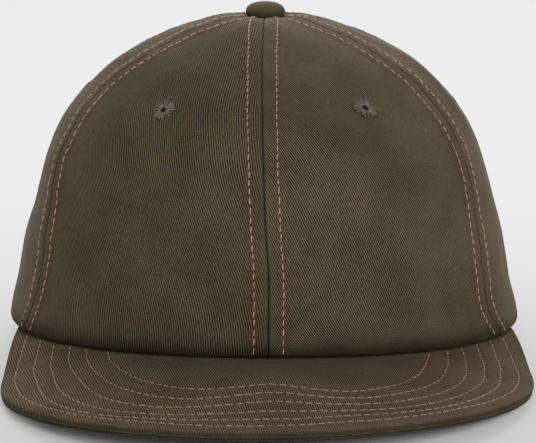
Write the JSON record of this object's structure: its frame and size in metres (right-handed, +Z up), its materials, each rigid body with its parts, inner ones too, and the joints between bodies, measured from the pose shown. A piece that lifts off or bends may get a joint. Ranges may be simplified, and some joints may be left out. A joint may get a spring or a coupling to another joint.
{
  "type": "work cap",
  "caption": "Six-panel cotton twill work cap with a covered top button, worked eyelets and a long flat row-stitched peak, resting on a surface.",
  "frame": {"origin": "under the middle of the resting cap's box, on the surface that it rests on", "axes": "+Z up, -Y the way the peak points, +X to the right of someone who faces the cap"},
  "size_m": [0.178, 0.2644, 0.1161],
  "materials": {
    "cloth": "matte washed cotton twill, dark olive brown",
    "facing_cloth": "matte cotton twill, darker, under the peak",
    "thread": "soft spun thread, a little lighter than the cloth"
  },
  "bodies": {
    "root": {"panel_front_left": "cloth", "panel_front_right": "cloth", "panel_side_right": "cloth", "panel_back_right": "cloth", "panel_back_left": "cloth", "panel_side_left": "cloth", "eyelet_front_left": "thread", "eyelet_front_right": "thread", "eyelet_side_right": "thread", "eyelet_back_right": "thread", "eyelet_back_left": "thread", "eyelet_side_left": "thread", "button": "cloth", "peak": "cloth", "peak_facing": "facing_cloth"}
  },
  "joints": []
}
